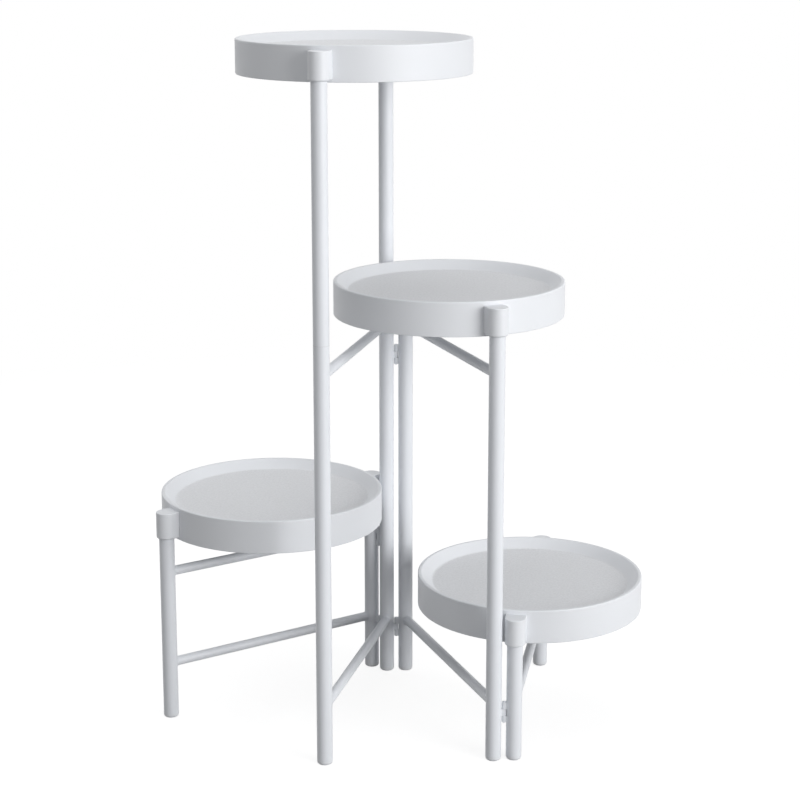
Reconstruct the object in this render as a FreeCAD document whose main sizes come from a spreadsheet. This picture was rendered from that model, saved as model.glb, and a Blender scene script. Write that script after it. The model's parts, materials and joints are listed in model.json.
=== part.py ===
import FreeCAD, Part
import math
import os

import Sketcher
from FreeCAD import Placement, Rotation, Vector

# Four-tier folding plant stand: four steel frames, hinged like a screen, each with a round moulded tray.
# Millimetres, +Z up. The origin is on the floor under the back upright of frame B, the tallest frame.
# Frames A and C are hinged to that upright, and frame D to the front upright of frame C.
# Each frame has its own axes: X runs from its first upright to its second, Z is up.

# Driving dimensions: alias, value, meaning. Angles are in degrees.
SIZES = [
    ("tube_diameter", 16.0, "upright tube, outside"),
    ("tube_wall", 1.0, "upright tube wall"),
    ("bar_diameter", 10.0, "crossbar tube, outside"),
    ("bar_wall", 1.0, "crossbar tube wall"),
    ("weld_gap", 0.02, "saddle-cut face to the round face behind it"),
    ("lower_bar_height", 60.6, "lower crossbar axis above the floor, every frame"),
    ("a_upper_bar_height", 162.0, "upper crossbar axis of frame A"),
    ("upper_bar_height", 401.8, "upper crossbar axis of frames B and C"),
    ("splice_height", 433.1, "joint between the lower and upper tubes of frame B"),
    ("sleeve_length", 60.0, "splice sleeve inside the tubes of frame B"),
    ("sleeve_wall", 1.2, "splice sleeve wall"),
    ("sleeve_clearance", 0.1, "splice sleeve to tube bore, radial"),
    ("foot_height", 5.0, "foot plug below the tube end"),
    ("foot_round", 3.0, "rounding of the foot's lower edge"),
    ("foot_stem_length", 15.0, "foot plug inside the tube"),
    ("foot_stem_wall", 2.0, "wall of the hollow stem"),
    ("foot_clearance", 0.1, "stem to tube bore, radial"),
    ("tray_diameter", 237.3, "tray wall, outside"),
    ("tray_height", 34.8, "tray skirt, floor edge to rim"),
    ("tray_wall", 2.6, "tray skirt wall"),
    ("tray_floor", 2.6, "thickness of the dish floor"),
    ("tray_gap", 1.3, "tray wall to upright"),
    ("rim_width", 3.6, "top of the rim"),
    ("rim_thickness", 3.0, "depth of solid rim above the hollow skirt"),
    ("rim_round", 1.2, "rounding of the rim's outer edge"),
    ("rim_inner_round", 0.8, "rounding of the rim's inner edge"),
    ("skirt_round", 0.8, "rounding of the skirt's lower edge"),
    ("dish_depth", 9.5, "dish floor below the rim"),
    ("dish_floor_diameter", 206.5, "flat floor of the dish"),
    ("dish_round", 4.0, "blend from dish floor to its sloping side"),
    ("boss_wall", 2.2, "wall of the socket boss"),
    ("boss_land", 0.4, "flat left round the socket mouth"),
    ("boss_drop", 4.4, "boss top below the rim"),
    ("boss_rise", 2.4, "boss bottom above the skirt's lower edge"),
    ("boss_roof", 3.0, "closed top of the socket"),
    ("boss_round", 0.7, "rounding of the boss's top edge"),
    ("socket_clearance", 0.3, "socket to upright, radial"),
    ("tray_a_rim", 232.5, "rim height of tray A above the floor"),
    ("tray_b_rim", 719.0, "rim height of tray B"),
    ("tray_c_rim", 473.0, "rim height of tray C"),
    ("tray_d_rim", 155.3, "rim height of tray D"),
    ("pin_diameter", 2.4, "hinge pin"),
    ("pin_clearance", 0.05, "pin to knuckle bore, radial"),
    ("pin_head_height", 0.8, "peened head of the pin"),
    ("pin_head_lip", 0.7, "head beyond the pin, radial"),
    ("knuckle_wall", 0.95, "knuckle barrel wall"),
    ("knuckle_gap", 0.2, "between neighbouring knuckles"),
    ("barrel_clearance", 0.3, "knuckle barrel to the upright beside it"),
    ("hinge_height", 21.2, "three knuckles and their gaps"),
    ("hinge_lower_level", 40.4, "bottom of the lower hinges above the floor"),
    ("hinge_ab_level", 145.9, "bottom of the upper hinge between A and B"),
    ("hinge_bc_level", 356.2, "bottom of the upper hinge between B and C"),
    ("hinge_set_angle", 36.0, "opening at which a pin lies between its two uprights"),
    ("heading_b", 256.2, "plan direction of frame B from its back upright"),
    ("opening_ab", 42.4, "angle between frames A and B as they stand"),
    ("opening_bc", 34.0, "angle between frames B and C"),
    ("opening_cd", 30.2, "angle between frames C and D"),
]

# Sizes that follow from the driving ones, as formulas for the document.
TUBE_RADIUS = "(Sizes.tube_diameter / 2)"
BORE_RADIUS = f"({TUBE_RADIUS} - Sizes.tube_wall)"
SADDLE_RADIUS = f"({TUBE_RADIUS} + Sizes.weld_gap)"
BAR_RADIUS = "(Sizes.bar_diameter / 2)"
TRAY_RADIUS = "(Sizes.tray_diameter / 2)"
SKIRT_BORE = f"({TRAY_RADIUS} - Sizes.tray_wall)"
RIM_BORE = f"({TRAY_RADIUS} - Sizes.rim_width)"
DISH_RADIUS = "(Sizes.dish_floor_diameter / 2)"
DISH_LEVEL = "(Sizes.tray_height - Sizes.dish_depth)"
FRAME_WIDTH = "(Sizes.tray_diameter + 2 * Sizes.tray_gap + Sizes.tube_diameter)"
REACH = f"({FRAME_WIDTH} / 2)"
SOCKET_RADIUS = f"({TUBE_RADIUS} + Sizes.socket_clearance)"
BOSS_RADIUS = f"({SOCKET_RADIUS} + Sizes.boss_wall)"
BOSS_TOP = "(Sizes.tray_height - Sizes.boss_drop)"
SOCKET_TOP = f"({BOSS_TOP} - Sizes.boss_roof)"
TUBE_TOP_BELOW_RIM = "(Sizes.boss_drop + Sizes.boss_roof)"
PIN_RADIUS = "(Sizes.pin_diameter / 2)"
PIN_BORE = f"({PIN_RADIUS} + Sizes.pin_clearance)"
KNUCKLE_RADIUS = f"({PIN_BORE} + Sizes.knuckle_wall)"
KNUCKLE_HEIGHT = "((Sizes.hinge_height - 2 * Sizes.knuckle_gap) / 3)"
PIN_OFFSET = f"({TUBE_RADIUS} + Sizes.barrel_clearance + {KNUCKLE_RADIUS})"
PIN_LEAD = "(90 + Sizes.hinge_set_angle / 2)"

UP = Vector(0, 0, 1)
SKETCH_AXIS = {"x": -1, "y": -2}
SKETCH_POINT = {"start": 1, "end": 2, "centre": 3}

# First and second upright of each frame, its rim height and its crossbars.
FRAMES = {
    "a": ("back", "front", "Sizes.tray_a_rim", {"lower": "Sizes.lower_bar_height",
                                                "upper": "Sizes.a_upper_bar_height"}),
    "b": ("back", "front", "Sizes.tray_b_rim", {"lower": "Sizes.lower_bar_height",
                                                "upper": "Sizes.upper_bar_height"}),
    "c": ("back", "front", "Sizes.tray_c_rim", {"lower": "Sizes.lower_bar_height",
                                                "upper": "Sizes.upper_bar_height"}),
    "d": ("front", "back", "Sizes.tray_d_rim", {"lower": "Sizes.lower_bar_height"}),
}
SPLICED_FRAME = "b"

# Hinges of each fold: carrying frame, swinging frame, and the level of each hinge.
FOLDS = {
    "ab": ("b", "a", {"lower": "Sizes.hinge_lower_level", "upper": "Sizes.hinge_ab_level"}),
    "bc": ("b", "c", {"lower": "Sizes.hinge_lower_level", "upper": "Sizes.hinge_bc_level"}),
    "cd": ("c", "d", {"lower": "Sizes.hinge_lower_level"}),
}

doc = FreeCAD.newDocument("plant_stand")
sizes = doc.addObject("Spreadsheet::Sheet", "Sizes")
sub_parts = []


def fill_sheet():
    """Writes the driving dimensions into the sheet."""
    for row, (alias, value, meaning) in enumerate(SIZES, 1):
        sizes.set(f"A{row}", meaning)
        sizes.set(f"B{row}", str(value))
        sizes.setAlias(f"B{row}", alias)
    doc.recompute()


def number(formula):
    """The value of a formula over the sheet, in millimetres or degrees."""
    return float(sizes.evalExpression(formula))


def polar(angle, radius):
    return Vector(radius * math.cos(math.radians(angle)), radius * math.sin(math.radians(angle)), 0)


def turned(angle):
    return Rotation(UP, angle)


def hang(carrier, carrier_pin, swinging_pin, turn):
    """Placement of a frame whose pin meets its carrier's pin and whose heading is turned from the carrier's."""
    rotation = carrier.Rotation.multiply(turned(turn))
    return Placement(carrier.multVec(carrier_pin) - rotation.multVec(swinging_pin), rotation)


def pin_points():
    """Pin axis of each fold, in the axes of its carrying frame and of its swinging frame, with their directions."""
    offset, lead = number(PIN_OFFSET), number(PIN_LEAD)
    far = Vector(number(FRAME_WIDTH), 0, 0)
    foot = Vector(0, 0, 0)
    return {
        "ab": ((foot, -lead), (foot, lead), polar(-lead, offset), polar(lead, offset)),
        "bc": ((foot, lead), (foot, -lead), polar(lead, offset), polar(-lead, offset)),
        "cd": ((far, 180 - lead), (foot, lead), far + polar(180 - lead, offset), polar(lead, offset)),
    }


def frame_placements():
    """Where each frame stands, opened out from frame B."""
    pins = pin_points()
    frame_b = Placement(Vector(0, 0, 0), turned(number("Sizes.heading_b")))
    frame_a = hang(frame_b, pins["ab"][2], pins["ab"][3], -number("Sizes.opening_ab"))
    frame_c = hang(frame_b, pins["bc"][2], pins["bc"][3], number("Sizes.opening_bc"))
    frame_d = hang(frame_c, pins["cd"][2], pins["cd"][3], 180 - number("Sizes.opening_cd"))
    return {"a": frame_a, "b": frame_b, "c": frame_c, "d": frame_d}


def new_body(label, placement):
    body = doc.addObject("PartDesign::Body", label)
    body.Label = label
    body.Placement = placement
    sub_parts.append(body)
    return body


def new_sketch(body, plane, level=None):
    """A sketch on one of the body's own planes, raised off it by a formula."""
    sketch = body.newObject("Sketcher::SketchObject", f"{body.Label}_sketch")
    support = next(feature for feature in body.Origin.OriginFeatures if feature.Role == plane)
    sketch.AttachmentSupport = [(support, "")]
    sketch.MapMode = "FlatFace"
    if level:
        sketch.setExpression("AttachmentOffset.Base.z", level)
    return sketch


def bind(sketch, constraint, formula):
    index = sketch.addConstraint(constraint)
    sketch.setExpression(f"Constraints[{index}]", formula)


def tie_point(sketch, geometry, end, x, y):
    """Ties a point of the sketch to formulas for its two coordinates."""
    point = (geometry, SKETCH_POINT[end])
    for kind, axis, formula in (("DistanceX", "y", x), ("DistanceY", "x", y)):
        if formula == "0":
            sketch.addConstraint(Sketcher.Constraint("PointOnObject", *point, SKETCH_AXIS[axis]))
        else:
            origin = (SKETCH_AXIS["x"], SKETCH_POINT["start"])
            bind(sketch, Sketcher.Constraint(kind, *origin, *point, number(formula)), formula)


def join_ends(sketch, first, second, kind="Coincident"):
    """Joins the end of one line or arc to the start of the next."""
    sketch.addConstraint(Sketcher.Constraint(kind, first, SKETCH_POINT["end"], second, SKETCH_POINT["start"]))


def draw_circle(sketch, radius, x="0", y="0"):
    circle = Part.Circle(Vector(number(x), number(y), 0), UP, number(radius))
    geometry = sketch.addGeometry(circle)
    bind(sketch, Sketcher.Constraint("Radius", geometry, number(radius)), radius)
    tie_point(sketch, geometry, "centre", x, y)


def draw_polygon(sketch, corners):
    """A closed outline of straight sides, each corner a pair of formulas."""
    points = [Vector(number(x), number(y), 0) for x, y in corners]
    sides = [sketch.addGeometry(Part.LineSegment(a, b)) for a, b in zip(points, points[1:] + points[:1])]
    for side, following in zip(sides, sides[1:] + sides[:1]):
        join_ends(sketch, side, following)
    for side, (x, y) in zip(sides, corners):
        tie_point(sketch, side, "start", x, y)


def draw_lug(sketch, centre_x, radius, root_x):
    """A round end about a point on the X axis, with parallel sides running back to a straight root."""
    side = number(radius)
    centre = Vector(number(centre_x), 0, 0)
    low, high = Vector(0, -side, 0), Vector(0, side, 0)
    root = Vector(number(root_x), 0, 0)
    first = sketch.addGeometry(Part.LineSegment(root + low, centre + low))
    nose = sketch.addGeometry(Part.ArcOfCircle(Part.Circle(centre, UP, side), -math.pi / 2, math.pi / 2))
    second = sketch.addGeometry(Part.LineSegment(centre + high, root + high))
    back = sketch.addGeometry(Part.LineSegment(root + high, root + low))
    join_ends(sketch, first, nose, "Tangent")
    join_ends(sketch, nose, second, "Tangent")
    join_ends(sketch, second, back)
    join_ends(sketch, back, first)
    sketch.addConstraint(Sketcher.Constraint("Vertical", back))
    tie_point(sketch, nose, "centre", centre_x, "0")
    bind(sketch, Sketcher.Constraint("Radius", nose, side), radius)
    tie_point(sketch, first, "start", root_x, f"-{radius}")


def pad(body, sketch, length):
    feature = body.newObject("PartDesign::Pad", f"{body.Label}_pad")
    feature.Profile = sketch
    feature.setExpression("Length", length)
    doc.recompute()
    return feature


def pocket(body, sketch, length=None):
    """Cuts the sketch upwards by a length, or right through on both sides."""
    before = body.Shape.Volume
    feature = body.newObject("PartDesign::Pocket", f"{body.Label}_pocket")
    feature.Profile = sketch
    if length:
        feature.Reversed = True
        feature.setExpression("Length", length)
    else:
        feature.Type = "ThroughAll"
        feature.SideType = "Symmetric"
    doc.recompute()
    if body.Shape.Volume >= before:
        raise RuntimeError(f"the cut in {body.Label} removes nothing")
    return feature


def revolve(body, sketch):
    feature = body.newObject("PartDesign::Revolution", f"{body.Label}_revolution")
    feature.Profile = sketch
    feature.ReferenceAxis = (sketch, ["V_Axis"])
    doc.recompute()
    return feature


def round_edges(body, base, belongs, radius):
    """Fillets the edges of the base feature that the test picks out."""
    names = [f"Edge{i}" for i, edge in enumerate(base.Shape.Edges, 1) if belongs(edge)]
    feature = body.newObject("PartDesign::Fillet", f"{body.Label}_fillet")
    feature.Base = (base, names)
    feature.setExpression("Radius", radius)
    doc.recompute()
    return feature


def near(a, b):
    return abs(a - b) < 1e-4


def ring_at(radius, level):
    """Test for a full circle about Z of one radius at one level."""
    def belongs(edge):
        if not isinstance(edge.Curve, Part.Circle):
            return False
        centre = edge.Curve.Center
        return near(edge.Curve.Radius, number(radius)) and near(centre.z, number(level)) and near(centre.x, 0)
    return belongs


def lug_outline_at(level):
    """Test for the edges round the nose and sides of a socket at one level."""
    reach, side, height = number(REACH), number(BOSS_RADIUS), number(level)

    def belongs(edge):
        box = edge.BoundBox
        if not (near(box.ZMin, height) and near(box.ZMax, height)):
            return False
        if isinstance(edge.Curve, Part.Circle):
            return near(edge.Curve.Radius, side) and near(edge.Curve.Center.x, reach)
        return near(abs(edge.CenterOfMass.y), side)
    return belongs


def tube(label, placement, outer, inner, length):
    body = new_body(label, placement)
    sketch = new_sketch(body, "XY_Plane")
    draw_circle(sketch, outer)
    draw_circle(sketch, inner)
    pad(body, sketch, length)


def upright(label, frame, x, bottom, top):
    """One length of upright tube between two heights."""
    base = Placement(Vector(x, 0, number(bottom)), Rotation())
    tube(label, frame.multiply(base), TUBE_RADIUS, BORE_RADIUS, f"{top} - {bottom}")


def sleeve(label, frame, x):
    """Inner sleeve that joins the two lengths of a spliced upright, half of it in each."""
    outer = f"({BORE_RADIUS} - Sizes.sleeve_clearance)"
    level = number("Sizes.splice_height - Sizes.sleeve_length / 2")
    base = Placement(Vector(x, 0, level), Rotation())
    tube(label, frame.multiply(base), outer, f"({outer} - Sizes.sleeve_wall)", "Sizes.sleeve_length")


def crossbar(label, frame, height):
    """Round tube between the two uprights, with each end saddle-cut to the upright's surface."""
    body = new_body(label, frame.multiply(Placement(Vector(0, 0, number(height)), Rotation())))
    section = new_sketch(body, "YZ_Plane")
    draw_circle(section, BAR_RADIUS)
    draw_circle(section, f"({BAR_RADIUS} - Sizes.bar_wall)")
    pad(body, section, FRAME_WIDTH)
    saddles = new_sketch(body, "XY_Plane")
    draw_circle(saddles, SADDLE_RADIUS)
    draw_circle(saddles, SADDLE_RADIUS, x=FRAME_WIDTH)
    pocket(body, saddles)


def foot(label, frame, x):
    """Plug with a rounded head the width of the tube and a hollow stem inside it."""
    body = new_body(label, frame.multiply(Placement(Vector(x, 0, 0), Rotation())))
    stem = f"({BORE_RADIUS} - Sizes.foot_clearance)"
    core = f"({stem} - Sizes.foot_stem_wall)"
    stem_top = "(Sizes.foot_height + Sizes.foot_stem_length)"
    profile = new_sketch(body, "XZ_Plane")
    draw_polygon(profile, [
        ("0", "0"),
        (TUBE_RADIUS, "0"),
        (TUBE_RADIUS, "Sizes.foot_height"),
        (stem, "Sizes.foot_height"),
        (stem, stem_top),
        (core, stem_top),
        (core, "Sizes.foot_height"),
        ("0", "Sizes.foot_height"),
    ])
    round_edges(body, revolve(body, profile), ring_at(TUBE_RADIUS, "0"), "Sizes.foot_round")


def tray_placement(frame, rim, turn=0):
    """Middle of a tray's lower edge, between the uprights of its frame."""
    level = number(f"{rim} - Sizes.tray_height")
    return frame.multiply(Placement(Vector(number(REACH), 0, level), turned(turn)))


def tray(label, frame, rim):
    """Shallow dish with a rounded rim, on a deep hollow skirt."""
    body = new_body(label, tray_placement(frame, rim))
    profile = new_sketch(body, "XZ_Plane")
    draw_polygon(profile, [
        ("0", f"{DISH_LEVEL} - Sizes.tray_floor"),
        (DISH_RADIUS, f"{DISH_LEVEL} - Sizes.tray_floor"),
        (SKIRT_BORE, "Sizes.tray_height - Sizes.rim_thickness"),
        (SKIRT_BORE, "0"),
        (TRAY_RADIUS, "0"),
        (TRAY_RADIUS, "Sizes.tray_height"),
        (RIM_BORE, "Sizes.tray_height"),
        (DISH_RADIUS, DISH_LEVEL),
        ("0", DISH_LEVEL),
    ])
    shell = revolve(body, profile)
    for radius, height, rounding in (
        (TRAY_RADIUS, "Sizes.tray_height", "Sizes.rim_round"),
        (RIM_BORE, "Sizes.tray_height", "Sizes.rim_inner_round"),
        (DISH_RADIUS, DISH_LEVEL, "Sizes.dish_round"),
        (TRAY_RADIUS, "0", "Sizes.skirt_round"),
    ):
        shell = round_edges(body, shell, ring_at(radius, height), rounding)


def socket(label, frame, rim, turn):
    """Closed-top socket for an upright, its back saddle-cut to the tray's skirt; X runs from the tray to the upright."""
    body = new_body(label, tray_placement(frame, rim, turn))
    outline = new_sketch(body, "XY_Plane", "Sizes.boss_rise")
    draw_lug(outline, REACH, BOSS_RADIUS, f"({TRAY_RADIUS} - Sizes.tray_wall)")
    pad(body, outline, f"{BOSS_TOP} - Sizes.boss_rise")
    skirt = new_sketch(body, "XY_Plane")
    draw_circle(skirt, f"({TRAY_RADIUS} + Sizes.weld_gap)")
    pocket(body, skirt)
    bore = new_sketch(body, "XY_Plane", "Sizes.boss_rise")
    draw_circle(bore, SOCKET_RADIUS, x=REACH)
    hollow = pocket(body, bore, f"{SOCKET_TOP} - Sizes.boss_rise")
    topped = round_edges(body, hollow, lug_outline_at(BOSS_TOP), "Sizes.boss_round")
    round_edges(body, topped, lug_outline_at("Sizes.boss_rise"), "Sizes.boss_wall - Sizes.boss_land")


def knuckle(label, frame, point, direction, level):
    """Hinge barrel with a lug saddle-cut to its upright; X runs from the upright's axis to the pin."""
    body = new_body(label, frame.multiply(Placement(point + UP * level, turned(direction))))
    barrel = new_sketch(body, "XY_Plane")
    draw_lug(barrel, PIN_OFFSET, KNUCKLE_RADIUS, f"({TUBE_RADIUS} - {KNUCKLE_RADIUS})")
    draw_circle(barrel, PIN_BORE, x=PIN_OFFSET)
    pad(body, barrel, KNUCKLE_HEIGHT)
    saddle = new_sketch(body, "XY_Plane")
    draw_circle(saddle, SADDLE_RADIUS)
    pocket(body, saddle)


def hinge_pin(label, frame, point, level):
    """Pin through the three knuckles, with a peened head at each end."""
    body = new_body(label, frame.multiply(Placement(point + UP * level, Rotation())))
    head = f"({PIN_RADIUS} + Sizes.pin_head_lip)"
    top = "(Sizes.hinge_height + Sizes.pin_head_height)"
    profile = new_sketch(body, "XZ_Plane")
    draw_polygon(profile, [
        ("0", "-Sizes.pin_head_height"),
        (PIN_RADIUS, "-Sizes.pin_head_height"),
        (head, "0"),
        (PIN_RADIUS, "0"),
        (PIN_RADIUS, "Sizes.hinge_height"),
        (head, "Sizes.hinge_height"),
        (PIN_RADIUS, top),
        ("0", top),
    ])
    revolve(body, profile)


def build_frame(name, frame):
    """Uprights, feet, crossbars, tray and sockets of one frame."""
    first, second, rim, bars = FRAMES[name]
    top = f"({rim} - {TUBE_TOP_BELOW_RIM})"
    for place, x, turn in ((first, 0, 180), (second, number(FRAME_WIDTH), 0)):
        if name == SPLICED_FRAME:
            upright(f"{name}_{place}_lower_upright", frame, x, "Sizes.foot_height", "Sizes.splice_height")
            upright(f"{name}_{place}_upper_upright", frame, x, "Sizes.splice_height", top)
            sleeve(f"{name}_{place}_splice_sleeve", frame, x)
        else:
            upright(f"{name}_{place}_upright", frame, x, "Sizes.foot_height", top)
        foot(f"{name}_{place}_foot", frame, x)
        socket(f"{name}_{place}_socket", frame, rim, turn)
    for place, height in bars.items():
        crossbar(f"{name}_{place}_crossbar", frame, height)
    tray(f"tray_{name}", frame, rim)


def build_hinge(label, fold, frames, level):
    """Middle knuckle on the carrying frame; outer knuckles and pin on the swinging frame."""
    carrier, swinging, _ = FOLDS[fold]
    (carrier_tube, carrier_way), (swinging_tube, swinging_way), _, pin_point = pin_points()[fold]
    step = number(f"{KNUCKLE_HEIGHT} + Sizes.knuckle_gap")
    knuckle(f"{label}_bottom_knuckle", frames[swinging], swinging_tube, swinging_way, level)
    knuckle(f"{label}_middle_knuckle", frames[carrier], carrier_tube, carrier_way, level + step)
    knuckle(f"{label}_top_knuckle", frames[swinging], swinging_tube, swinging_way, level + 2 * step)
    hinge_pin(f"{label}_pin", frames[swinging], pin_point, level)


def check_document():
    """Stops before anything is written if a feature failed or a sub-part is not one sound solid."""
    for item in doc.Objects:
        if "Invalid" in item.State or "Error" in item.State:
            raise RuntimeError(f"{item.Label} failed: {item.State}")
    for body in sub_parts:
        shape = body.Shape
        if shape.isNull() or not shape.isValid() or len(shape.Solids) != 1:
            raise RuntimeError(f"{body.Label} is not one valid solid")


def main():
    fill_sheet()
    frames = frame_placements()
    for name, frame in frames.items():
        build_frame(name, frame)
    for fold, (_, _, levels) in FOLDS.items():
        for place, level in levels.items():
            build_hinge(f"hinge_{fold}_{place}", fold, frames, number(level))
    doc.recompute()
    check_document()
    os.makedirs("parts", exist_ok=True)
    for body in sub_parts:
        body.Shape.exportStep(f"parts/{body.Label}.step")


main()
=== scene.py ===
import json
import math

import bmesh
import bpy
from mathutils import Euler, Matrix, Vector


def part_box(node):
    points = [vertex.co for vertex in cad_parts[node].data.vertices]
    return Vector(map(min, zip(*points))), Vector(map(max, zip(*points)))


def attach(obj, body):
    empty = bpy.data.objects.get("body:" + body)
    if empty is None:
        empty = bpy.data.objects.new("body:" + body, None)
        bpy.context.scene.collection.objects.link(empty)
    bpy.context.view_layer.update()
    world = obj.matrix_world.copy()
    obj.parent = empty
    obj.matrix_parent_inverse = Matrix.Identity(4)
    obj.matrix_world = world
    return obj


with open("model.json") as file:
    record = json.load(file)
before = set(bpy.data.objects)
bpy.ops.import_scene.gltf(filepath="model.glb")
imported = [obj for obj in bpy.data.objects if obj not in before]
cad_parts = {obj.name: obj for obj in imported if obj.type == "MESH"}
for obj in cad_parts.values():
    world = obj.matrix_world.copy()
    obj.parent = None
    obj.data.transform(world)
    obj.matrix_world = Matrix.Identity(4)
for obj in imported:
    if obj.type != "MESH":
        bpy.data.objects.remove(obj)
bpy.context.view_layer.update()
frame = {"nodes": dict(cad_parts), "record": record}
nodes = frame["nodes"]
record = frame["record"]

MM = 0.001
WHITE = (1.0, 1.0, 1.0)

# The camera, fitted to the layout of the stand in a square picture.
PICTURE_PIXELS = 800.0
FOCAL_PIXELS = 1943.4
SENSOR_MM = 36.0
CAMERA_PITCH_DEG = 12.444
CAMERA_ROLL_DEG = -0.018
CAMERA_PLACE = Vector((14.9, -2075.0, 845.2)) * MM
CAMERA_SHIFT_UP = -0.08

# The lamps, in metres and watts: a wide key lamp low at the front right, and a wider one above.
KEY_PLACE = (2.45, -2.17, 0.98)
KEY_TARGET = (0.0, -0.12, 0.35)
KEY_SIZE = 2.4
KEY_POWER = 83.0
TOP_PLACE = (-0.6, 0.2, 2.8)
TOP_TARGET = (-0.05, -0.1, 0.4)
TOP_SIZE = 3.6
TOP_POWER = 25.0

# The even light from all round.
WORLD_COLOUR = (0.985, 0.99, 1.0)
WORLD_STRENGTH = 0.415

# The floor, in metres: paper near the stand, plain white far from it, and the light that each part scatters.
FLOOR_RADIUS = 12.0
FLOOR_SIDES = 96
FLOOR_NEAR = 0.5
FLOOR_FAR = 1.6
PAPER_COLOUR = (0.3, 0.3, 0.3)
PAPER_GLOW = 0.84
NEAR_BOUNCE = (0.2, 0.2, 0.2)
FAR_BOUNCE = (0.36, 0.36, 0.36)

# The two tones between which each finish varies.
COAT_TONES = ((0.803, 0.824, 0.86), (0.778, 0.799, 0.835))
PLASTIC_TONES = ((0.796, 0.813, 0.842), (0.778, 0.795, 0.824))
DISH_FLOOR_TONES = ((0.824, 0.835, 0.856), (0.726, 0.736, 0.755))
STEEL_TONES = ((0.56, 0.56, 0.57), (0.47, 0.47, 0.48))
# Darker tones for the painted shadow in the seam of a spliced upright.
SEAM_SHADOW_TONES = ((0.70, 0.71, 0.725), (0.60, 0.61, 0.625))

# Relief of the finishes, and the range over which noise mostly lies.
PEEL_DEPTH = 0.2 * MM
GRAIN_DEPTH = 0.3 * MM
MEAN_HEIGHT = 0.5
NOISE_LOW = 0.3
NOISE_HIGH = 0.7

# The dish of a tray: its depth below the rim, and how near and how level with its floor the grain is full.
DISH_DEPTH = 9.5 * MM
GRAIN_FULL_WITHIN = 0.2 * MM
GRAIN_GONE_BEYOND = 0.9 * MM
GRAIN_FACING_START = 0.6
GRAIN_FACING_FULL = 0.9

# Sizes of the solids that carry the welds and seams. A knuckle's lug is as wide as its barrel.
TUBE_RADIUS = 8.0 * MM
BAR_RADIUS = 5.0 * MM
KNUCKLE_RADIUS = 2.2 * MM

# Fillet welds round the ends of the crossbars. Every weld reaches a little into what it joins.
WELD_LEG = 1.5 * MM
WELD_SINK = 0.2 * MM
WELD_RIPPLES = 22
WELD_RIPPLE_HEIGHT = 0.05 * MM
WELD_STEPS = 4 * WELD_RIPPLES
FILLET_SPANS = 5
FILLET_FULLNESS = 0.35

# Beads at the hinge knuckles, which stop short of the lug's ends and taper to a share of their section there.
KNUCKLE_WELD_LEG = 0.8 * MM
KNUCKLE_WELD_INSET = 0.15 * MM
KNUCKLE_WELD_TAPER = 0.7 * MM
KNUCKLE_WELD_END_SHARE = 0.4

# The thin dark ring that paints the shadow in the seam of a spliced upright.
SEAM_HEIGHT = 0.5 * MM
SEAM_PROUD = 0.03 * MM
SEAM_SINK = 0.1 * MM
SEAM_STEPS = 64

# Shading: how close two points are one, and the angle from which two faces show an edge between them.
JOIN_WITHIN = 0.002 * MM
SHARP_EDGE_DEG = 30.0


def new_object(name, data):
    made = bpy.data.objects.new(name, data)
    bpy.context.scene.collection.objects.link(made)
    return made


def make_camera():
    data = bpy.data.cameras.new("camera")
    data.sensor_width = SENSOR_MM
    data.lens = FOCAL_PIXELS * SENSOR_MM / PICTURE_PIXELS
    data.shift_y = CAMERA_SHIFT_UP
    camera = new_object("camera", data)
    tilt = Euler((math.radians(90 - CAMERA_PITCH_DEG), 0, 0)).to_matrix()
    roll = Matrix.Rotation(math.radians(CAMERA_ROLL_DEG), 3, "Z")
    camera.rotation_euler = (tilt @ roll).to_euler()
    camera.location = CAMERA_PLACE
    bpy.context.scene.camera = camera


def make_area_light(name, place, target, size, power):
    data = bpy.data.lights.new(name, "AREA")
    data.shape = "DISK"
    data.size = size
    data.energy = power
    light = new_object(name, data)
    light.visible_camera = False
    light.location = place
    light.rotation_euler = (Vector(target) - Vector(place)).to_track_quat("-Z", "Y").to_euler()


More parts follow.
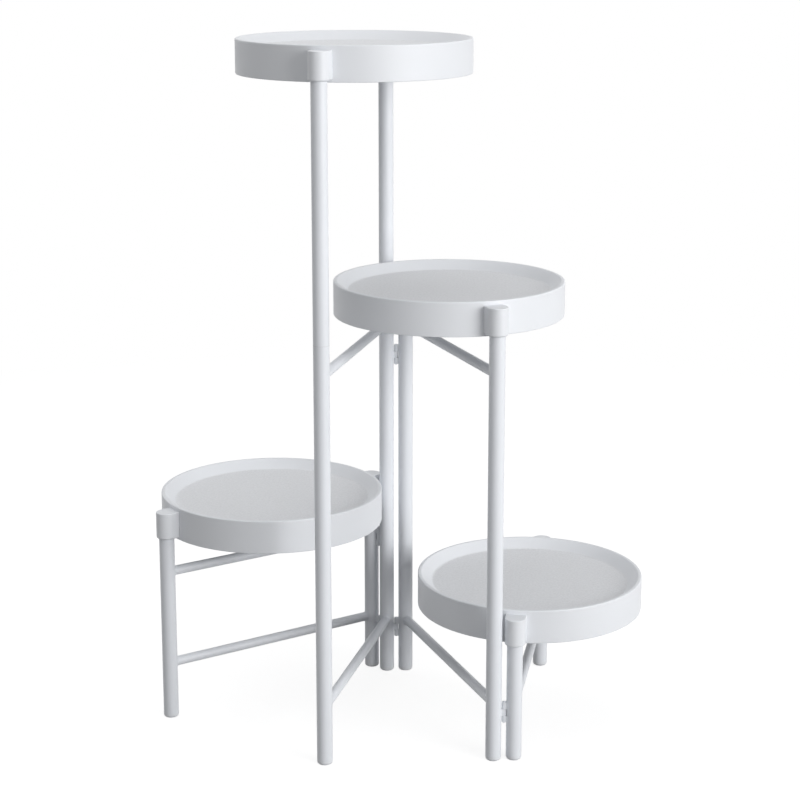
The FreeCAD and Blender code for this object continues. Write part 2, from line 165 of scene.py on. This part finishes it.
class ShaderTree:
    """The node tree of a material or world, with short calls that add and join nodes."""

    def __init__(self, owner):
        owner.use_nodes = True
        self.tree = owner.node_tree
        self.tree.nodes.clear()

    def feed(self, value, socket):
        """Joins an output to a socket, or sets the socket to a colour or a number."""
        if isinstance(value, bpy.types.NodeSocket):
            self.tree.links.new(value, socket)
        elif isinstance(value, tuple):
            socket.default_value = (*value, 1.0)
        else:
            socket.default_value = value

    def add(self, kind, **values):
        """Adds a node with its options and sockets set by name."""
        node = self.tree.nodes.new(kind)
        for name, value in values.items():
            if name in node.inputs:
                self.feed(value, node.inputs[name])
            else:
                setattr(node, name, value)
        return node

    def calculate(self, operation, *values):
        node = self.add("ShaderNodeMath", operation=operation)
        for value, socket in zip(values, node.inputs):
            self.feed(value, socket)
        return node.outputs["Value"]

    def ramp(self, value, start, end, low=0.0, high=1.0):
        """Goes from low to high as the value goes from start to end, and stays level outside them."""
        limits = {"From Min": start, "From Max": end, "To Min": low, "To Max": high}
        return self.add("ShaderNodeMapRange", Value=value, **limits).outputs["Result"]

    def noise(self, coords, scale, detail=2.0, roughness=0.5):
        node = self.add("ShaderNodeTexNoise", Vector=coords, Scale=scale, Detail=detail, Roughness=roughness)
        return node.outputs["Fac"]

    def span(self, noise, low, high):
        """Stretches noise over a range."""
        return self.ramp(noise, NOISE_LOW, NOISE_HIGH, low, high)

    def mix(self, kind, factor, first, second):
        """Mixes two colours, kind RGBA, or two numbers, kind VALUE."""
        node = self.add("ShaderNodeMix", data_type="FLOAT" if kind == "VALUE" else kind, Factor=factor)
        ends = [socket for socket in node.inputs if socket.type == kind and socket.name in ("A", "B")]
        for value, socket in zip((first, second), ends):
            self.feed(value, socket)
        return next(socket for socket in node.outputs if socket.type == kind)

    def varied(self, coords, tones, scale, detail):
        """A colour that drifts between two tones."""
        return self.mix("RGBA", self.span(self.noise(coords, scale, detail), 0.0, 1.0), *tones)

    def bump(self, height, strength, distance, normal=None):
        node = self.add("ShaderNodeBump", Height=height, Strength=strength, Distance=distance)
        if normal is not None:
            self.feed(normal, node.inputs["Normal"])
        return node.outputs["Normal"]

    def mix_shaders(self, factor, first, second):
        node = self.add("ShaderNodeMixShader")
        for value, socket in zip((factor, first, second), node.inputs):
            self.feed(value, socket)
        return node.outputs["Shader"]

    def seen_plainly(self):
        """One for what the camera, a reflection or clear plastic sees, nought for scattered light."""
        rays = self.add("ShaderNodeLightPath").outputs
        camera_or_mirror = self.calculate("MAXIMUM", rays["Is Camera Ray"], rays["Is Glossy Ray"])
        return self.calculate("MAXIMUM", camera_or_mirror, rays["Is Transmission Ray"])


def new_finish(name, gloss):
    """A material with one shader: the material, its tree, object coordinates and the shader's sockets."""
    material = bpy.data.materials.new(name)
    tree = ShaderTree(material)
    coords = tree.add("ShaderNodeTexCoord").outputs["Object"]
    shader = tree.add("ShaderNodeBsdfPrincipled", **gloss)
    tree.add("ShaderNodeOutputMaterial", Surface=shader.outputs["BSDF"])
    return material, tree, coords, shader.inputs


def coated_metal():
    """White satin powder coat: faint orange peel and slow changes of tone."""
    gloss = {"Specular IOR Level": 0.45, "Coat Weight": 0.12, "Coat Roughness": 0.3}
    material, tree, coords, shader = new_finish("powder_coat", gloss)
    roughness = tree.span(tree.noise(coords, scale=60.0, detail=3.0), low=0.42, high=0.52)
    peel = tree.bump(tree.noise(coords, scale=620.0), strength=0.25, distance=PEEL_DEPTH)
    tree.feed(tree.varied(coords, COAT_TONES, scale=14.0, detail=3.0), shader["Base Color"])
    tree.feed(roughness, shader["Roughness"])
    tree.feed(peel, shader["Normal"])
    return material


def dish_floor_mask(tree, coords, level):
    """One on the level dish floor of a tray, nought on its rim, sides and underside."""
    height = tree.add("ShaderNodeSeparateXYZ", Vector=coords).outputs["Z"]
    apart = tree.calculate("ABSOLUTE", tree.calculate("SUBTRACT", height, level))
    near = tree.ramp(apart, GRAIN_FULL_WITHIN, GRAIN_GONE_BEYOND, low=1.0, high=0.0)
    normal = tree.add("ShaderNodeNewGeometry").outputs["True Normal"]
    facing = tree.add("ShaderNodeSeparateXYZ", Vector=normal).outputs["Z"]
    upward = tree.ramp(facing, GRAIN_FACING_START, GRAIN_FACING_FULL)
    return tree.calculate("MULTIPLY", near, upward)


def moulded_plastic(name, dish_level=None):
    """White moulded plastic, satin on rims and walls, with a fine matt grain on a dish floor."""
    material, tree, coords, shader = new_finish(name, {"Specular IOR Level": 0.45})
    colour = tree.varied(coords, PLASTIC_TONES, scale=9.0, detail=3.0)
    roughness = tree.span(tree.noise(coords, scale=40.0, detail=3.0), low=0.42, high=0.5)
    relief = tree.bump(tree.noise(coords, scale=1500.0), strength=0.12, distance=GRAIN_DEPTH)
    if dish_level is not None:
        floor = dish_floor_mask(tree, coords, dish_level)
        grain = tree.span(tree.noise(coords, scale=440.0, detail=4.0, roughness=0.68), low=0.0, high=1.0)
        colour = tree.mix("RGBA", floor, colour, tree.mix("RGBA", grain, *DISH_FLOOR_TONES))
        roughness = tree.mix("VALUE", floor, roughness, tree.span(grain, low=0.54, high=0.62))
        height = tree.mix("VALUE", floor, MEAN_HEIGHT, grain)
        relief = tree.bump(height, strength=0.6, distance=GRAIN_DEPTH, normal=relief)
    tree.feed(colour, shader["Base Color"])
    tree.feed(roughness, shader["Roughness"])
    tree.feed(relief, shader["Normal"])
    return material


def bare_steel():
    """Drawn steel tube, hidden in the uprights unless they are pulled apart."""
    material, tree, coords, shader = new_finish("bare_steel", {"Metallic": 1.0})
    roughness = tree.span(tree.noise(coords, scale=220.0, detail=3.0), low=0.3, high=0.45)
    tree.feed(tree.varied(coords, STEEL_TONES, scale=90.0, detail=4.0), shader["Base Color"])
    tree.feed(roughness, shader["Roughness"])
    return material


def seam_shadow():
    """Painted shadow of the fine gap between two tube ends, darker than the rest of the coat."""
    material, tree, coords, shader = new_finish("seam", {"Specular IOR Level": 0.2})
    roughness = tree.span(tree.noise(coords, scale=500.0), low=0.55, high=0.7)
    tree.feed(tree.varied(coords, SEAM_SHADOW_TONES, scale=300.0, detail=3.0), shader["Base Color"])
    tree.feed(roughness, shader["Roughness"])
    return material


def dress_nodes():
    """Gives every solid the finish of its material slot, and each tray a grained dish floor."""
    finishes = {
        "powder_coated_tube": coated_metal(),
        "moulded_tray": moulded_plastic("moulded_plastic"),
        "splice_sleeve": bare_steel(),
    }
    finishes["hinge_knuckle"] = finishes["hinge_pin"] = finishes["powder_coated_tube"]
    finishes["foot_plug"] = finishes["moulded_tray"]
    for part in record["subparts"]:
        node = part["node"]
        finish = finishes[part["material_slot"]]
        if node.startswith("tray_"):
            finish = moulded_plastic(f"{node}_plastic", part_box(node)[1].z - DISH_DEPTH)
        mesh = nodes[node].data
        mesh.materials.clear()
        mesh.materials.append(finish)
    return finishes


def even_tube_shading():
    """Shades each tube evenly all round, also across the line where its faces start and end."""
    for part in record["subparts"]:
        if part["material_slot"] != "powder_coated_tube":
            continue
        modifiers = nodes[part["node"]].modifiers
        modifiers.new("join_seam", "WELD").merge_threshold = JOIN_WITHIN
        modifiers.new("sharp_edges", "EDGE_SPLIT").split_angle = math.radians(SHARP_EDGE_DEG)
        modifiers.new("even_normals", "WEIGHTED_NORMAL")


def new_piece(name, form, body, material):
    """Makes a form into a mesh piece that rides on a body of the stand."""
    bmesh.ops.recalc_face_normals(form, faces=form.faces)
    for face in form.faces:
        face.smooth = True
    for edge in form.edges:
        edge.smooth = edge.calc_face_angle() < math.radians(SHARP_EDGE_DEG)
    mesh = bpy.data.meshes.new(name)
    form.to_mesh(mesh)
    form.free()
    mesh.materials.append(material)
    piece = new_object(name, mesh)
    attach(piece, body)


def skin_rings(form, rings, closed=True):
    """Joins rings of points into a skin: closed on itself, or open with its two ends capped."""
    made = [[form.verts.new(point) for point in ring] for ring in rings]
    following = made[1:] + made[:1] if closed else made[1:]
    for ring, after in zip(made, following):
        for corners in zip(ring, ring[1:] + ring[:1], after[1:] + after[:1], after):
            form.faces.new(corners)
    if not closed:
        form.faces.new(made[0])
        form.faces.new(made[-1])


def turns(steps):
    """Angles of even steps round a circle."""
    return [2 * math.pi * step / steps for step in range(steps)]


def tube_axis(node):
    """Where the axis of an upright or a pin meets the floor."""
    low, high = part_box(node)
    return Vector(((low.x + high.x) / 2, (low.y + high.y) / 2, 0))


def placed(point, foot, along, height):
    """A point given as along, across and up, set on an upright's axis at a height."""
    across = Vector((-along.y, along.x, 0))
    return foot + point.x * along + point.y * across + Vector((0, 0, height + point.z))


def fillet(toe, root, other_toe):
    """Points along a hollow fillet's face, a smooth curve from one toe to the other."""
    belly = root.lerp((toe + other_toe) / 2, FILLET_FULLNESS)
    shares = [span / FILLET_SPANS for span in range(FILLET_SPANS + 1)]
    return [toe.lerp(belly, share).lerp(belly.lerp(other_toe, share), share) for share in shares]


def weld_section(turn, ripple):
    """Points round the weld's section at one angle about the bar: along the bar, across it, and up."""
    across, up = math.cos(turn), math.sin(turn)

    def on_tube(radius):
        depth = math.sqrt(TUBE_RADIUS**2 - (radius * across) ** 2)
        return Vector((depth, radius * across, radius * up))

    root = on_tube(BAR_RADIUS)
    leg = WELD_LEG + ripple
    face = fillet(on_tube(BAR_RADIUS + leg), root, root + Vector((leg, 0, 0)))
    inner = on_tube(BAR_RADIUS - WELD_SINK) - Vector((WELD_SINK, 0, 0))
    return [*face, inner]


def make_weld(name, body, foot, other_foot, height, material):
    """Fillet weld all round a crossbar's end, where it meets an upright."""
    along = (other_foot - foot).normalized()
    rings = []
    for turn in turns(WELD_STEPS):
        ripple = WELD_RIPPLE_HEIGHT * math.sin(WELD_RIPPLES * turn)
        rings.append([placed(point, foot, along, height) for point in weld_section(turn, ripple)])
    form = bmesh.new()
    skin_rings(form, rings)
    new_piece(name, form, body, material)


def make_welds(material):
    """Welds both ends of each crossbar to its frame's uprights, which on frame B are the lower lengths."""
    for node in nodes:
        if not node.endswith("_crossbar"):
            continue
        key, level, _ = node.split("_")
        upright = "lower_upright" if key == "b" else "upright"
        feet = {place: tube_axis(f"{key}_{place}_{upright}") for place in ("back", "front")}
        low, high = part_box(node)
        for place, other in (("back", "front"), ("front", "back")):
            name = f"{key}_{level}_{place}_weld"
            make_weld(name, f"frame_{key}", feet[place], feet[other], (low.z + high.z) / 2, material)


def bead_section(side):
    """Root and outline of a knuckle's weld on one side of its lug: towards the pin, and across."""

    def on_tube(across):
        return Vector((math.sqrt(TUBE_RADIUS**2 - across**2), side * across, 0))

    root = on_tube(KNUCKLE_RADIUS)
    face = fillet(on_tube(KNUCKLE_RADIUS + KNUCKLE_WELD_LEG), root, root + Vector((KNUCKLE_WELD_LEG, 0, 0)))
    inner = on_tube(KNUCKLE_RADIUS - WELD_SINK) - Vector((WELD_SINK, 0, 0))
    return root, [*face, inner]


def make_knuckle_weld(name, body, foot, pin, bottom, top, material):
    """Two beads, one on each side of a knuckle's lug, that hold it to its upright."""
    along = (pin - foot).normalized()
    levels = [
        (bottom, KNUCKLE_WELD_END_SHARE),
        (bottom + KNUCKLE_WELD_TAPER, 1.0),
        (top - KNUCKLE_WELD_TAPER, 1.0),
        (top, KNUCKLE_WELD_END_SHARE),
    ]
    form = bmesh.new()
    for side in (-1, 1):
        root, outline = bead_section(side)
        rings = []
        for level, share in levels:
            rings.append([placed(root.lerp(point, share), foot, along, level) for point in outline])
        skin_rings(form, rings, closed=False)
    new_piece(name, form, body, material)


def make_knuckle_welds(material):
    """Welds each hinge knuckle to the nearest upright of its own frame."""
    for body, members in record["behaviour"]["bodies"].items():
        uprights = [tube_axis(node) for node in members if node.endswith("_upright")]
        for node in members:
            if not node.endswith("_knuckle"):
                continue
            hinge, place, _ = node.rsplit("_", 2)
            pin = tube_axis(f"{hinge}_pin")
            foot = min(uprights, key=lambda axis: (axis - pin).length)
            low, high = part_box(node)
            bottom, top = low.z + KNUCKLE_WELD_INSET, high.z - KNUCKLE_WELD_INSET
            make_knuckle_weld(f"{hinge}_{place}_weld", body, foot, pin, bottom, top, material)


def make_seam_shadows(material):
    """A thin dark ring where the two lengths of a spliced upright meet: painted shadow of the gap between
    them.
    """
    half = SEAM_HEIGHT / 2
    section = [
        Vector((TUBE_RADIUS - SEAM_SINK, 0, -half)),
        Vector((TUBE_RADIUS + SEAM_PROUD, 0, -half / 2)),
        Vector((TUBE_RADIUS + SEAM_PROUD, 0, half / 2)),
        Vector((TUBE_RADIUS - SEAM_SINK, 0, half)),
    ]
    for place in ("back", "front"):
        foot = tube_axis(f"b_{place}_lower_upright")
        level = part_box(f"b_{place}_lower_upright")[1].z
        rings = []
        for turn in turns(SEAM_STEPS):
            outward = Vector((math.cos(turn), math.sin(turn), 0))
            rings.append([placed(point, foot, outward, level) for point in section])
        form = bmesh.new()
        skin_rings(form, rings)
        new_piece(f"b_{place}_seam", form, "frame_b", material)


def floor_material():
    """Pale paper that takes the stand's shadow and fades to plain white; greyer to scattered light."""
    material = bpy.data.materials.new("floor")
    tree = ShaderTree(material)
    coords = tree.add("ShaderNodeTexCoord").outputs["Object"]
    reach = tree.add("ShaderNodeVectorMath", operation="LENGTH", Vector=coords).outputs["Value"]
    fade = tree.ramp(reach, FLOOR_NEAR, FLOOR_FAR)
    paper = tree.add("ShaderNodeBsdfDiffuse", Color=PAPER_COLOUR)
    glow = tree.add("ShaderNodeEmission", Color=WHITE, Strength=PAPER_GLOW)
    near = tree.add("ShaderNodeAddShader")
    for shader, socket in zip((paper, glow), near.inputs):
        tree.feed(shader.outputs[0], socket)
    far = tree.add("ShaderNodeEmission", Color=WHITE, Strength=1.0)
    shown = tree.mix_shaders(fade, near.outputs[0], far.outputs[0])
    bounce = tree.add("ShaderNodeBsdfDiffuse", Color=tree.mix("RGBA", fade, NEAR_BOUNCE, FAR_BOUNCE))
    blend = tree.mix_shaders(tree.seen_plainly(), bounce.outputs[0], shown)
    tree.add("ShaderNodeOutputMaterial", Surface=blend)
    return material


def make_floor():
    """A wide round floor."""
    mesh = bpy.data.meshes.new("floor")
    form = bmesh.new()
    bmesh.ops.create_circle(form, cap_ends=True, segments=FLOOR_SIDES, radius=FLOOR_RADIUS)
    form.to_mesh(mesh)
    form.free()
    mesh.materials.append(floor_material())
    floor = new_object("floor", mesh)


def make_world():
    """Even light from all round, which the camera sees as plain white."""
    world = bpy.data.worlds.new("studio")
    tree = ShaderTree(world)
    soft = tree.add("ShaderNodeBackground", Color=WORLD_COLOUR, Strength=WORLD_STRENGTH)
    white = tree.add("ShaderNodeBackground", Color=WHITE, Strength=1.0)
    blend = tree.mix_shaders(tree.seen_plainly(), soft.outputs[0], white.outputs[0])
    tree.add("ShaderNodeOutputWorld", Surface=blend)
    bpy.context.scene.world = world


finishes = dress_nodes()
even_tube_shading()
make_welds(finishes["powder_coated_tube"])
make_knuckle_welds(finishes["hinge_knuckle"])
make_seam_shadows(seam_shadow())
make_floor()
make_world()
make_camera()
make_area_light("key", KEY_PLACE, KEY_TARGET, KEY_SIZE, KEY_POWER)
make_area_light("top", TOP_PLACE, TOP_TARGET, TOP_SIZE, TOP_POWER)
bpy.context.scene.view_settings.view_transform = "Standard"
